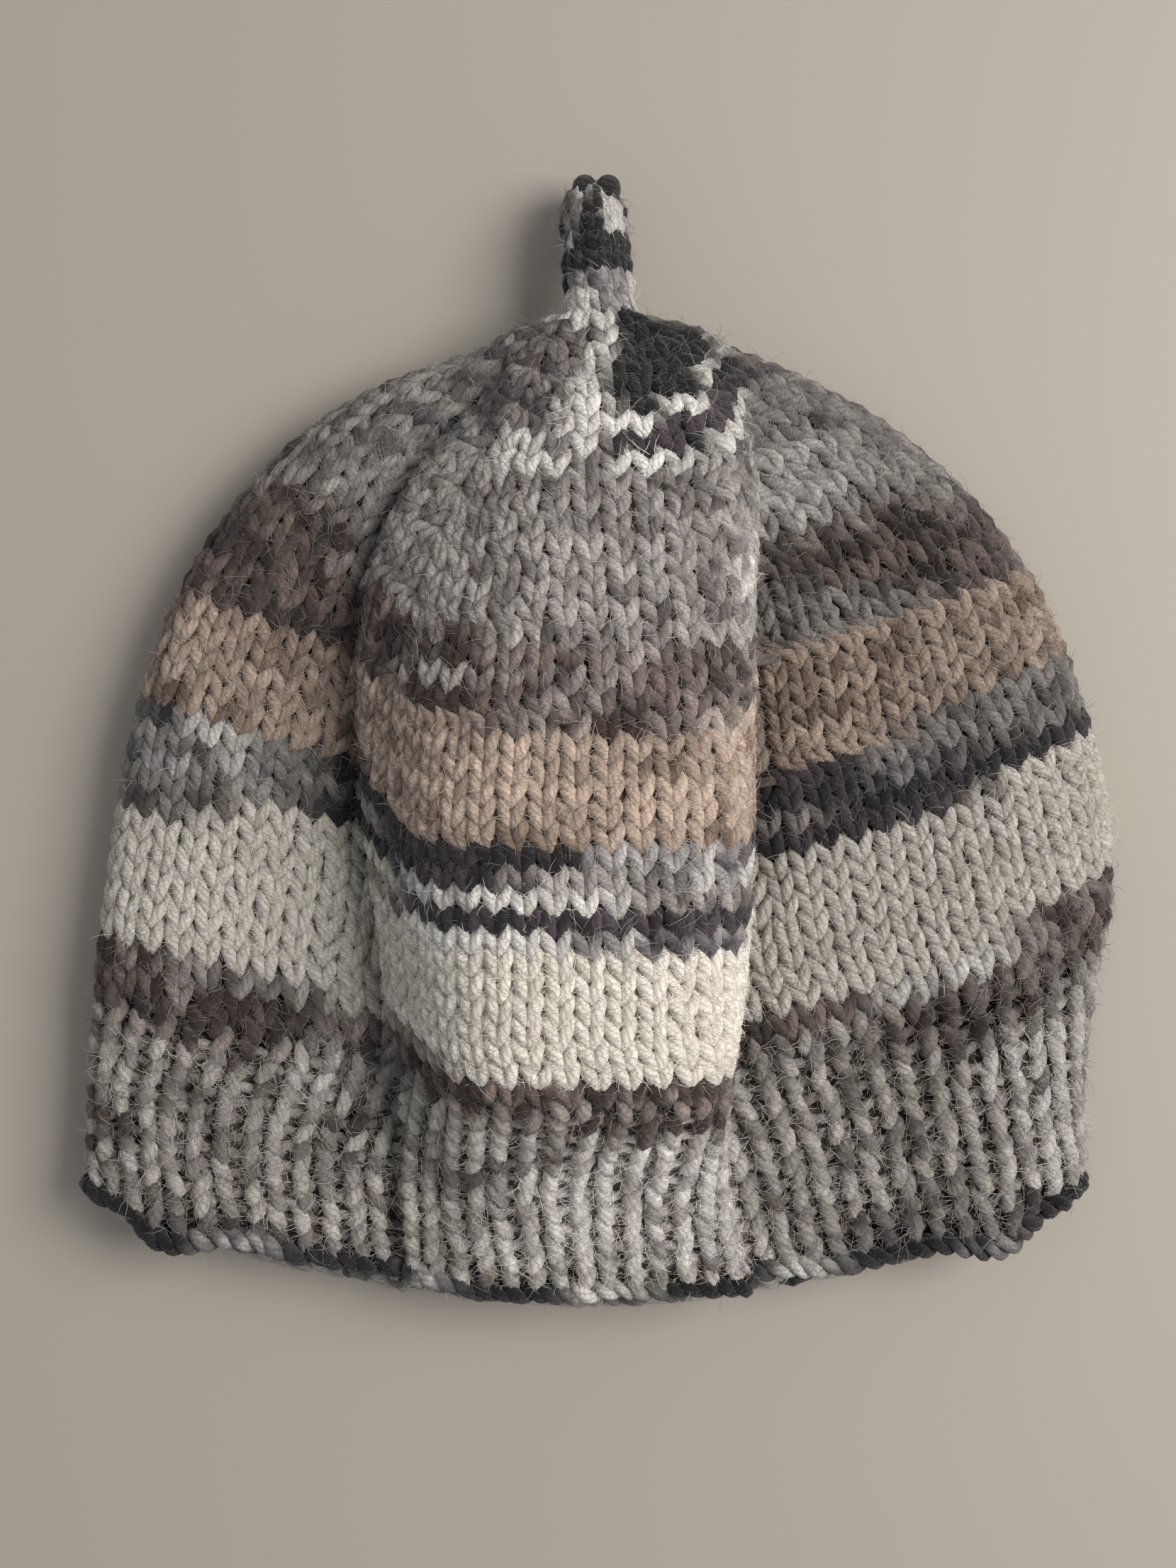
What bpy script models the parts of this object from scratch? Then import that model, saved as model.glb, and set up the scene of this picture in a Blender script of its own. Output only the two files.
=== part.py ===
# A hand-knitted beanie that lies on its back: a ribbed brim, a plain knitted body, a crown drawn
# in to a point and a short knitted stalk. The brim opens toward -Y, the stalk points toward +Y
# and a raised fold runs down the middle of the front layer.

import math

import bmesh
import bpy
import numpy as np

# Sizes of the hat as it lies, in metres
HAT_LENGTH = 0.178          # from the rim at the middle of the front to the point of the crown
HALF_WIDTH = 0.094          # from the middle line to the widest part of a side
SIDE_HEIGHT = 0.0158        # height of the two flat side parts over the ground
EDGE_ROUND = 0.0090         # how far in from a side edge the cloth has turned level
FOLD_HEIGHT = 0.044         # height of the raised middle fold over the ground
FOLD_HALF_WIDTH = 0.029     # half of the fold's width, between its two creases
CREASE_DEPTH = 0.0030       # how far the creases beside the fold sink below the side parts
RIM_SETBACK = 0.0040        # how far the front layer's cast-on edge stops short of the back's
POINT_HEIGHT = 0.0155       # height of the middle of the crown's point over the ground

# Cloth
KNIT_WALL = 0.0036          # thickness of the plain knitting
RIB_WALL = 0.0036           # thickness of the ribbing between a rib and the groove behind it
RIB_RISE = 0.0014           # how far a rib stands over the grooves beside it
RIB_COUNT = 42              # ribs round the brim
FRONT_CROWDING = 0.07       # share by which the ribs stand closer at the front's rim
RIM_TURN = 0.020            # share of the round by which the rim is turned against the body
PIECE_GAP = 0.0003          # clearance between neighbouring pieces

# Crown and stalk
GATHER_COUNT = 8            # folds that run out from the point of the crown
GATHER_DEPTH = 0.0012       # how deep those folds are beside the stalk
STALK_RADIUS = 0.0064       # radius of the knitted stalk
STALK_LENGTH = 0.025        # how far it stands out of the crown
STALK_END_HEIGHT = 0.0090   # height of the middle of its end over the ground
STALK_LEAN = 0.0015         # how far its end leans to the left

# Shares of all the rows of knitting, counted from the cast-on edge
BRIM_TOP = 0.24
CROWN_START = 0.70

# Facets
FACETS_ROUND = 84           # round the body and the crown, one for each stitch of the body
RIB_FACETS = 4              # round one rib and its groove
BRIM_RINGS = 6
BODY_RINGS = 13
CROWN_RINGS = 9
STALK_FACETS = 16
STALK_RINGS = 8

# Sections of the lying hat, from the rim to the point of the crown.
# up: share of the rows. left, right: where the side edges are, share of HALF_WIDTH. edgeL, edgeR:
# how far up the row reaches there, share of HAT_LENGTH. base, middle: the same at the middle
# line, in the flat layers and on top of the fold. side: share of SIDE_HEIGHT. creaseL, creaseR:
# share of FOLD_HALF_WIDTH. fold: share of FOLD_HEIGHT. under: clearance under the cloth, share of
# POINT_HEIGHT. round: how far the section has turned from a fold to an oval
COLUMNS = ("up", "left", "right", "edgeL", "edgeR", "base", "middle", "side", "creaseL",
           "creaseR", "fold", "under", "round")
SECTIONS = (
    (0.00, 1.000, 0.940, 0.108, 0.108, 0.004, 0.004, 0.98, 1.22, 0.92, 0.42, 0.00, 0.00),
    (0.12, 0.990, 0.945, 0.215, 0.255, 0.125, 0.116, 0.99, 1.24, 0.78, 0.55, 0.00, 0.00),
    (0.24, 0.977, 0.990, 0.330, 0.405, 0.250, 0.222, 1.00, 1.28, 0.78, 0.89, 0.00, 0.00),
    (0.36, 0.938, 0.978, 0.488, 0.525, 0.395, 0.350, 1.00, 1.40, 0.86, 1.00, 0.00, 0.00),
    (0.48, 0.888, 0.915, 0.622, 0.645, 0.520, 0.470, 1.00, 1.48, 0.89, 0.99, 0.00, 0.00),
    (0.60, 0.790, 0.825, 0.750, 0.750, 0.645, 0.595, 1.00, 1.48, 0.90, 0.93, 0.00, 0.00),
    (0.70, 0.654, 0.680, 0.850, 0.845, 0.750, 0.702, 1.02, 1.32, 0.90, 0.84, 0.00, 0.02),
    (0.79, 0.500, 0.515, 0.920, 0.915, 0.838, 0.796, 1.06, 0.98, 0.90, 0.75, 0.02, 0.10),
    (0.87, 0.350, 0.365, 0.960, 0.960, 0.905, 0.878, 1.12, 0.55, 0.76, 0.66, 0.10, 0.35),
    (0.94, 0.200, 0.225, 0.986, 0.986, 0.955, 0.945, 1.20, 0.28, 0.42, 0.57, 0.30, 0.80),
    (1.00, 0.074, 0.078, 1.000, 1.000, 0.998, 0.997, 1.30, 0.12, 0.12, 0.49, 0.57, 1.00),
)


def clear_scene():
    for thing in list(bpy.data.objects):
        bpy.data.objects.remove(thing)


def smooth_through(keys, values, at):
    # A smooth curve through rows of values that stand at uneven keys
    step = np.diff(keys)[:, None]
    rate = np.diff(values, axis=0) / step
    inner = (rate[:-1] * step[1:] + rate[1:] * step[:-1]) / (step[1:] + step[:-1])
    tangent = np.vstack([rate[:1], inner, rate[-1:]])
    i = np.clip(np.searchsorted(keys, at, side="right") - 1, 0, len(keys) - 2)
    h = step[i]
    t = ((at - keys[i])[:, None]) / h
    return ((2 * t**3 - 3 * t**2 + 1) * values[i] + (t**3 - 2 * t**2 + t) * h * tangent[i]
            + (3 * t**2 - 2 * t**3) * values[i + 1] + (t**3 - t**2) * h * tangent[i + 1])


def section_at(up):
    table = np.array(SECTIONS)
    row = smooth_through(table[:, 0], table, np.array([up]))[0]
    s = dict(zip(COLUMNS, row))
    s["under"] = max(0.0, s["under"])
    return s


def mix(a, b, share):
    return a + (b - a) * share


def outline_points(s):
    # The corners of one section as (x, height), from the middle of the back layer round the
    # left side, over the fold and round the right side
    ground = s["under"] * POINT_HEIGHT
    level = s["side"] * SIDE_HEIGHT
    left, right = -s["left"] * HALF_WIDTH, s["right"] * HALF_WIDTH
    turn = min(EDGE_ROUND, 0.45 * (right - left) / 2)
    creaseL, creaseR = -s["creaseL"] * FOLD_HALF_WIDTH, s["creaseR"] * FOLD_HALF_WIDTH
    half = (creaseR - creaseL) / 2
    top = s["fold"] * FOLD_HEIGHT
    innerL, innerR = left + turn, right - turn
    low = level - CREASE_DEPTH * min(1.0, (creaseL - innerL) / FOLD_HALF_WIDTH,
                                     (top - level) / SIDE_HEIGHT)
    bevel = 1 - math.sqrt(0.5)
    foot, brow = mix(ground, level, bevel / 2), mix(level, ground, bevel / 2)
    corners = [
        (0.0, ground), (left * 0.5, ground), (innerL, ground), (left + turn * bevel, foot),
        (left, mix(ground, level, 0.5)),
        (left + turn * bevel, brow), (innerL, level), (mix(innerL, creaseL, 0.5), level),
        (mix(innerL, creaseL, 0.84), mix(level, low, 0.35)),
        (creaseL + half * 0.05, low),
        (creaseL + half * 0.01, mix(low, top, 0.20)),
        (creaseL + half * 0.20, mix(low, top, 0.50)),
        (creaseL + half * 0.44, mix(low, top, 0.80)),
        (creaseL + half * 0.72, mix(low, top, 0.96)),
        (creaseL + half * 1.15, top),
        (creaseR - half * 0.32, mix(low, top, 0.98)),
        (creaseR - half * 0.07, mix(low, top, 0.85)),
        (creaseR + half * 0.02, mix(low, top, 0.55)),
        (creaseR, mix(low, top, 0.20)),
        (creaseR + half * 0.02, low),
        (mix(innerR, creaseR, 0.84), mix(level, low, 0.35)),
        (mix(innerR, creaseR, 0.5), level), (innerR, level), (right - turn * bevel, brow),
        (right, mix(ground, level, 0.5)),
        (right - turn * bevel, foot), (innerR, ground), (right * 0.5, ground), (0.0, ground),
    ]
    angles = np.linspace(0, 2 * math.pi, len(corners))
    oval = [(mix(left, right, 0.5 - 0.5 * math.sin(a)), mix(ground, top, 0.5 - 0.5 * math.cos(a)))
            for a in angles]
    return mix(np.array(corners), np.array(oval), min(1.0, s["round"]))


def reach_of_row(s, x, z):
    # How far up the hat one row of knitting lies, as a share of HAT_LENGTH. It sags toward the
    # middle line, and the raised fold has slipped down a little against the flat layers
    left = x < 0
    share = np.clip(np.abs(x) / (np.where(left, s["left"], s["right"]) * HALF_WIDTH), 0, 1)
    flat = mix(s["base"], np.where(left, s["edgeL"], s["edgeR"]), share ** 1.8)
    level, top = s["side"] * SIDE_HEIGHT, s["fold"] * FOLD_HEIGHT
    raised = np.clip((z - level) / (0.8 * (top - level)), 0, 1)
    return mix(flat, s["middle"] + 0.25 * (flat - s["base"]), raised ** 2 * (3 - 2 * raised))


def ring_points(up, count):
    # Points at even distances round the outer face of the cloth in one row of knitting
    s = section_at(up)
    corners = outline_points(s)
    keys = np.concatenate([[0], np.cumsum(np.hypot(*np.diff(corners, axis=0).T))])
    wrapped = np.vstack([corners[-2:-1], corners, corners[1:2]])
    wrapped_keys = np.concatenate([[keys[0] - keys[-1] + keys[-2]], keys,
                                   [keys[-1] + keys[1]]])
    fine = smooth_through(wrapped_keys, wrapped, np.linspace(0, keys[-1], 721))
    fine[:, 1] = np.maximum(fine[:, 1], s["under"] * POINT_HEIGHT)
    y = HAT_LENGTH * reach_of_row(s, fine[:, 0], fine[:, 1])
    front = np.clip(fine[:, 1] / (0.6 * s["side"] * SIDE_HEIGHT), 0, 1)
    y = y + RIM_SETBACK * front * max(0.0, 1 - up / 0.3)
    line = np.column_stack([fine[:, 0], y, fine[:, 1]])
    run = np.concatenate([[0], np.cumsum(np.linalg.norm(np.diff(line, axis=0), axis=1))])
    turn = np.arange(count) / count
    crowd = FRONT_CROWDING * max(0.0, 1 - up / 0.3)
    ahead = RIM_TURN * max(0.0, 1 - up / 0.3)
    stops = (turn + crowd * np.sin(2 * math.pi * turn) / (2 * math.pi) + ahead) % 1.0 * run[-1]
    return np.column_stack([np.interp(stops, run, line[:, k]) for k in range(3)])


def cloth_normals(up, count):
    # Directions out of the cloth at the points of one ring
    step = 0.004
    here = ring_points(up, count)
    along = ring_points(min(1.0, up + step), count) - ring_points(max(0.0, up - step), count)
    across = np.roll(here, -1, axis=0) - np.roll(here, 1, axis=0)
    normal = np.cross(across, along)
    return normal / np.linalg.norm(normal, axis=1)[:, None]


def plain_rings(up, count=FACETS_ROUND):
    # The outer and the inner ring of the plain knitting at one share of the rows
    here, normal = ring_points(up, count), cloth_normals(up, count)
    pleat = gather_depth(up) * (0.5 - 0.5 * np.cos(2 * math.pi * GATHER_COUNT * np.arange(count)
                                                   / count))
    outer = here - normal * pleat[:, None]
    return outer, outer - normal * KNIT_WALL


def rib_rings(up):
    # The same for the ribbing, whose inner face has its ribs behind the outer face's grooves
    count = RIB_COUNT * RIB_FACETS
    here, normal = ring_points(up, count), cloth_normals(up, count)
    wave = 0.5 - 0.5 * np.cos(2 * math.pi * np.arange(count) / RIB_FACETS)
    outer = here - normal * (RIB_RISE * wave)[:, None]
    inner = here - normal * (RIB_WALL + RIB_RISE * wave)[:, None]
    return outer, inner


def gather_depth(up):
    # The crown's folds are deepest at its point and fade out before the crown's start
    return GATHER_DEPTH * max(0.0, (up - 0.80) / 0.20)


def make_object(name, color, roughness, build):
    mesh = bpy.data.meshes.new(name)
    bm = bmesh.new()
    build(bm)
    bmesh.ops.recalc_face_normals(bm, faces=bm.faces)
    for face in bm.faces:
        face.smooth = True
    bm.to_mesh(mesh)
    bm.free()
    thing = bpy.data.objects.new(name, mesh)
    bpy.context.scene.collection.objects.link(thing)
    mat = bpy.data.materials.new(name)
    mat.use_nodes = True
    shader = next(n for n in mat.node_tree.nodes if n.type == "BSDF_PRINCIPLED")
    shader.inputs["Base Color"].default_value = (*color, 1.0)
    shader.inputs["Roughness"].default_value = roughness
    shader.inputs["Metallic"].default_value = 0.0
    mesh.materials.append(mat)
    return thing


def bridge_rings(bm, rings):
    # Faces between each ring and the next
    verts = [[bm.verts.new(p) for p in ring] for ring in rings]
    for low, high in zip(verts, verts[1:]):
        join_rings(bm, low, high)
    return verts


def close_end(bm, outer, inner):
    # The cut edge of a piece of cloth. Its triangles run the same way at both ends, so that
    # the edges of two neighbouring pieces stay parallel
    for i in range(len(outer)):
        j = (i + 1) % len(outer)
        bm.faces.new((outer[i], outer[j], inner[j]))
        bm.faces.new((outer[i], inner[j], inner[i]))


def join_rings(bm, low, high):
    # Quads between rings of one count, triangles where one ring has twice the other's
    if len(high) > len(low):
        low, high = high, low
    n = len(high)
    for i in range(n):
        j = (i + 1) % n
        if len(low) == n:
            bm.faces.new((low[i], low[j], high[j], high[i]))
        else:
            a, b, c = low[2 * i], low[2 * i + 1], low[2 * j]
            bm.faces.new((high[i], a, b))
            bm.faces.new((high[i], b, high[j]))
            bm.faces.new((high[j], b, c))


def cloth_piece(name, color, pairs):
    # One closed piece of cloth from its (outer ring, inner ring) pairs
    def build(bm):
        outer = bridge_rings(bm, [pair[0] for pair in pairs])
        inner = bridge_rings(bm, [pair[1] for pair in pairs])
        close_end(bm, outer[0], inner[0])
        close_end(bm, outer[-1], inner[-1])

    return make_object(name, color, 0.9, build)


def brim_pairs(gap):
    # The ribs die out where the brim meets the plain knitting
    pairs = [rib_rings(up) for up in np.linspace(0.0, BRIM_TOP * 0.9, BRIM_RINGS)]
    pairs.append(plain_rings(BRIM_TOP - gap, RIB_COUNT * RIB_FACETS))
    return pairs


def body_pairs(gap):
    # The lowest ring has the brim's points, so that the two pieces meet face to face
    pairs = [plain_rings(up) for up in np.linspace(BRIM_TOP + gap, CROWN_START - gap, BODY_RINGS)]
    pairs[0] = plain_rings(BRIM_TOP + gap, RIB_COUNT * RIB_FACETS)
    return pairs


def stalk_piece(name, color):
    # A cord that droops from the crown's point, with a rounded end
    point = HAT_LENGTH + PIECE_GAP
    height = POINT_HEIGHT

    def build(bm):
        rings = []
        for k in range(STALK_RINGS):
            t = k / (STALK_RINGS - 1)
            along = t * STALK_LENGTH
            # The end closes over the last radius of the cord
            left = (STALK_LENGTH - along) / STALK_RADIUS
            radius = STALK_RADIUS * (math.sqrt(1 - (1 - left) ** 2) if left < 1 else 1.0)
            center = (-STALK_LEAN * t, point + along, mix(height, STALK_END_HEIGHT, t))
            rings.append(stalk_ring(center, max(radius, 0.25 * STALK_RADIUS)))
        verts = bridge_rings(bm, rings)
        bm.faces.new(verts[0])
        bm.faces.new(verts[-1])

    return make_object(name, color, 0.9, build)


def stalk_ring(center, radius):
    angles = [2 * math.pi * i / STALK_FACETS for i in range(STALK_FACETS)]
    return [(center[0] + radius * math.cos(a), center[1], center[2] + radius * math.sin(a))
            for a in angles]


def center_on_ground(things):
    # The model's origin is the middle of its footprint
    corners = np.array([v.co for thing in things for v in thing.data.vertices])
    low, high = corners.min(axis=0), corners.max(axis=0)
    shift = np.array([(low[0] + high[0]) / 2, (low[1] + high[1]) / 2, low[2]])
    for thing in things:
        for v in thing.data.vertices:
            v.co = np.array(v.co) - shift


def main():
    clear_scene()
    gap = PIECE_GAP / HAT_LENGTH / 2
    crown = [plain_rings(up) for up in np.linspace(CROWN_START + gap, 1.0, CROWN_RINGS)]
    center_on_ground([
        cloth_piece("ribbed_brim", (0.40, 0.39, 0.36), brim_pairs(gap)),
        cloth_piece("hat_body", (0.55, 0.46, 0.34), body_pairs(gap)),
        cloth_piece("crown", (0.42, 0.41, 0.40), crown),
        stalk_piece("stalk", (0.33, 0.30, 0.31)),
    ])


main()
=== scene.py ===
import math

import bpy
import numpy as np
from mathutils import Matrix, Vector


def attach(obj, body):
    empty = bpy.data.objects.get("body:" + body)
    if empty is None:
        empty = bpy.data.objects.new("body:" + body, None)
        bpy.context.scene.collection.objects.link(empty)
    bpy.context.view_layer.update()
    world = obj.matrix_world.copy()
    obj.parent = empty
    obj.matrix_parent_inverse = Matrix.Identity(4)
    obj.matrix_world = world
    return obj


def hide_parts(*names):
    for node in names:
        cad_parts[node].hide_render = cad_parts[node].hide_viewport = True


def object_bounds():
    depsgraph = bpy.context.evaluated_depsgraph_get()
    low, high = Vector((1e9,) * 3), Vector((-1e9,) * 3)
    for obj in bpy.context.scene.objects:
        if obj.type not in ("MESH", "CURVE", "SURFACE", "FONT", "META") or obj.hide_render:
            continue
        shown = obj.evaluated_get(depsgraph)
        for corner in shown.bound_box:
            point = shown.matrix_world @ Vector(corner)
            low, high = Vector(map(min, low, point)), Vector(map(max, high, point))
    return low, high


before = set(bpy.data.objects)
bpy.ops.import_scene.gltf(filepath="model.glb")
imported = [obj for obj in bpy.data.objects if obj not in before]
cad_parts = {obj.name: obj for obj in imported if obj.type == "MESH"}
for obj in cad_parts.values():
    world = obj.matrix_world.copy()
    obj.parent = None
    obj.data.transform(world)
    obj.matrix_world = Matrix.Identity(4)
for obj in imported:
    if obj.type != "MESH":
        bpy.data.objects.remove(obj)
frameLow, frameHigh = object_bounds()
bpy.ops.object.select_all(action="DESELECT")
rng = np.random.default_rng(7)

# Sizes of the lying hat in metres, the same as the solids have. The gathers are counted, and they
# start at a share of the rows
hatSizes = {
    "length": 0.178, "halfWidth": 0.094, "sideHeight": 0.0158, "edgeRound": 0.0090,
    "foldHeight": 0.044, "foldHalfWidth": 0.029, "creaseDepth": 0.0030, "rimSetback": 0.0040,
    "pointHeight": 0.0155, "stalkRadius": 0.0064, "stalkLength": 0.025,
    "stalkEndHeight": 0.0090, "stalkLean": 0.0015,
    "gatherCount": 8, "gatherDepth": 0.0012, "gatherStart": 0.80, "gatherRun": 0.20,
}
# How the rows run over the hat. sagPower: how long a row stays near its place on the middle line.
# foldWhole: the share of the fold's height where the fold's own course holds. foldSag: how much a
# row still bends there. rimShare: the rows over which the rim's turn, crowding and setback fade
# out. frontHeight: the share of the side's height where the setback is whole
rowCourse = {"sagPower": 1.8, "foldWhole": 0.8, "foldSag": 0.25, "rimShare": 0.3,
             "frontHeight": 0.6}
# The knitting: rows and stitches are counted, the rest is in metres, in stitch widths or a share.
# evenRows: rows over the brim that keep all stitches. firstStitch: where a row's first stitch
# lies, as a share of the round from the middle of the back. rimTurn and frontCrowding lean the
# ribs: how far the rim is turned to the hat's right, and how much closer the stitches stand in
# front
knitting = {
    "brimRows": 12, "evenRows": 12, "clothRows": 50, "stalkRows": 7, "mostStitches": 84,
    "sections": 4, "leastPerSection": 3, "firstStitch": 0.125, "stitchWidth": 0.00535,
    "yarnRadius": 0.00116, "legSwell": 0.15, "loopDepth": 0.00070, "loopReach": 0.92,
    "loopWaist": 0.27, "columnPinch": 0.034, "pointsPerStitch": 12, "sides": 6,
    "ribRise": 0.00130, "ribPinch": 0.42, "ribWaist": 0.165, "ribFatter": 1.09, "ribSwell": 0.24,
    "ribFadeRows": 2, "unevenness": 0.07, "rimTurn": 0.036, "frontCrowding": 0.07,
}

# A row for each section of the lying hat, from the rim to the point of the crown. up is a share
# of the rows of knitting. left, right: of the half width. edgeL, edgeR, base, middle: of the
# length, at the side edges, on the back and on the front's middle line. side, creaseL, creaseR,
# fold, under: of the side's height, the fold's half width, its height and the point's height.
# round: how much of an oval the section is
sectionColumns = ("up", "left", "right", "edgeL", "edgeR", "base", "middle", "side", "creaseL",
                  "creaseR", "fold", "under", "round")
sections = np.array([
    (0.00, 1.000, 0.940, 0.108, 0.108, 0.004, 0.004, 0.98, 1.22, 0.92, 0.42, 0.00, 0.00),
    (0.12, 0.990, 0.945, 0.215, 0.255, 0.125, 0.116, 0.99, 1.24, 0.78, 0.55, 0.00, 0.00),
    (0.24, 0.977, 0.990, 0.330, 0.405, 0.250, 0.222, 1.00, 1.28, 0.78, 0.89, 0.00, 0.00),
    (0.36, 0.938, 0.978, 0.488, 0.525, 0.395, 0.350, 1.00, 1.40, 0.86, 1.00, 0.00, 0.00),
    (0.48, 0.888, 0.915, 0.622, 0.645, 0.520, 0.470, 1.00, 1.48, 0.89, 0.99, 0.00, 0.00),
    (0.60, 0.790, 0.825, 0.750, 0.750, 0.645, 0.595, 1.00, 1.48, 0.90, 0.93, 0.00, 0.00),
    (0.70, 0.654, 0.680, 0.850, 0.845, 0.750, 0.702, 1.02, 1.32, 0.90, 0.84, 0.00, 0.02),
    (0.79, 0.500, 0.515, 0.920, 0.915, 0.838, 0.796, 1.06, 0.98, 0.90, 0.75, 0.02, 0.10),
    (0.87, 0.350, 0.365, 0.960, 0.960, 0.905, 0.878, 1.12, 0.55, 0.76, 0.66, 0.10, 0.35),
    (0.94, 0.200, 0.225, 0.986, 0.986, 0.955, 0.945, 1.20, 0.28, 0.42, 0.57, 0.30, 0.80),
    (1.00, 0.074, 0.078, 1.000, 1.000, 0.998, 0.997, 1.30, 0.12, 0.12, 0.49, 0.57, 1.00),
])


def mix(a, b, share):
    return a + (b - a) * share


def smoothThrough(keys, values, at):
    # A smooth curve through the values, read at some places
    step = np.diff(keys)[:, None]
    rate = np.diff(values, axis=0) / step
    inner = (rate[:-1] * step[1:] + rate[1:] * step[:-1]) / (step[1:] + step[:-1])
    tangent = np.vstack([rate[:1], inner, rate[-1:]])
    i = np.clip(np.searchsorted(keys, at, side="right") - 1, 0, len(keys) - 2)
    h = step[i]
    t = ((at - keys[i])[:, None]) / h
    return ((2 * t**3 - 3 * t**2 + 1) * values[i] + (t**3 - 2 * t**2 + t) * h * tangent[i]
            + (3 * t**2 - 2 * t**3) * values[i + 1] + (t**3 - t**2) * h * tangent[i + 1])


def sectionAt(up):
    # The section at one share of the rows, as a dictionary
    row = smoothThrough(sections[:, 0], sections, np.array([up]))[0]
    s = dict(zip(sectionColumns, row))
    s["under"] = max(0.0, s["under"])
    return s


def outlinePoints(s):
    # Corners of one section as (x, height), from the middle of the back round the left side
    z = hatSizes
    ground, level = s["under"] * z["pointHeight"], s["side"] * z["sideHeight"]
    left, right = -s["left"] * z["halfWidth"], s["right"] * z["halfWidth"]
    turn = min(z["edgeRound"], 0.45 * (right - left) / 2)
    creaseL, creaseR = -s["creaseL"] * z["foldHalfWidth"], s["creaseR"] * z["foldHalfWidth"]
    half = (creaseR - creaseL) / 2
    top = s["fold"] * z["foldHeight"]
    innerL, innerR = left + turn, right - turn
    low = level - z["creaseDepth"] * min(1.0, (creaseL - innerL) / z["foldHalfWidth"],
                                         (top - level) / z["sideHeight"])
    bevel = 1 - math.sqrt(0.5)
    foot, brow = mix(ground, level, bevel / 2), mix(level, ground, bevel / 2)
    corners = [
        (0.0, ground), (left * 0.5, ground), (innerL, ground), (left + turn * bevel, foot),
        (left, mix(ground, level, 0.5)),
        (left + turn * bevel, brow), (innerL, level), (mix(innerL, creaseL, 0.5), level),
        (mix(innerL, creaseL, 0.84), mix(level, low, 0.35)),
        (creaseL + half * 0.05, low),
        (creaseL + half * 0.01, mix(low, top, 0.20)),
        (creaseL + half * 0.20, mix(low, top, 0.50)),
        (creaseL + half * 0.44, mix(low, top, 0.80)),
        (creaseL + half * 0.72, mix(low, top, 0.96)),
        (creaseL + half * 1.15, top),
        (creaseR - half * 0.32, mix(low, top, 0.98)),
        (creaseR - half * 0.07, mix(low, top, 0.85)),
        (creaseR + half * 0.02, mix(low, top, 0.55)),
        (creaseR, mix(low, top, 0.20)),
        (creaseR + half * 0.02, low),
        (mix(innerR, creaseR, 0.84), mix(level, low, 0.35)),
        (mix(innerR, creaseR, 0.5), level), (innerR, level), (right - turn * bevel, brow),
        (right, mix(ground, level, 0.5)),
        (right - turn * bevel, foot), (innerR, ground), (right * 0.5, ground), (0.0, ground),
    ]
    angles = np.linspace(0, 2 * math.pi, len(corners))
    oval = [(mix(left, right, 0.5 - 0.5 * math.sin(a)), mix(ground, top, 0.5 - 0.5 * math.cos(a)))
            for a in angles]
    return mix(np.array(corners), np.array(oval), min(1.0, s["round"]))


def reachOfRow(s, x, z):
    # How far up the hat one row lies, which is least at the middle line and on the raised fold
    left = x < 0
    share = np.abs(x) / (np.where(left, s["left"], s["right"]) * hatSizes["halfWidth"])
    flat = mix(s["base"], np.where(left, s["edgeL"], s["edgeR"]),
               np.clip(share, 0, 1) ** rowCourse["sagPower"])
    level, top = s["side"] * hatSizes["sideHeight"], s["fold"] * hatSizes["foldHeight"]
    raised = np.clip((z - level) / (rowCourse["foldWhole"] * (top - level)), 0, 1)
    return mix(flat, s["middle"] + rowCourse["foldSag"] * (flat - s["base"]),
               raised ** 2 * (3 - 2 * raised))


# The grid of the cloth. fineStops: points of the curve that each ring is read from. softening:
# how many columns apart the normals are averaged. gatherOnStalk: how deep the gathers stay there
clothGrid = {"around": 1080, "perRow": 4, "fineStops": 1441, "softening": (0, 6, 3),
             "gatherOnStalk": 0.4}


def ringPoints(up, count):
    # Evenly spaced points round the outer face of the cloth at one share of the rows
    z = hatSizes
    s = sectionAt(up)
    corners = outlinePoints(s)
    keys = np.concatenate([[0], np.cumsum(np.hypot(*np.diff(corners, axis=0).T))])
    wrapped = np.vstack([corners[-2:-1], corners, corners[1:2]])
    wrappedKeys = np.concatenate([[keys[0] - keys[-1] + keys[-2]], keys, [keys[-1] + keys[1]]])
    fine = smoothThrough(wrappedKeys, wrapped,
                         np.linspace(0, keys[-1], clothGrid["fineStops"]))
    fine[:, 1] = np.maximum(fine[:, 1], s["under"] * z["pointHeight"])
    y = z["length"] * reachOfRow(s, fine[:, 0], fine[:, 1])
    front = np.clip(fine[:, 1] / (rowCourse["frontHeight"] * s["side"] * z["sideHeight"]), 0, 1)
    nearRim = max(0.0, 1 - up / rowCourse["rimShare"])
    y = y + z["rimSetback"] * front * nearRim
    line = np.column_stack([fine[:, 0], y, fine[:, 1]])
    run = np.concatenate([[0], np.cumsum(np.linalg.norm(np.diff(line, axis=0), axis=1))])
    turn = np.arange(count) / count
    crowd, ahead = knitting["frontCrowding"] * nearRim, knitting["rimTurn"] * nearRim
    stops = (turn + crowd * np.sin(2 * math.pi * turn) / (2 * math.pi) + ahead) % 1.0 * run[-1]
    ring = np.column_stack([np.interp(stops, run, line[:, k]) for k in range(3)])
    return ring, run[-1]


# The stalk's end: its least radius as a share, and how it turns inwards past the end, in a share
# and in metres a row
stalkEnd = {"leastRadius": 0.45, "narrower": 0.8, "onwards": 0.0008}


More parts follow.
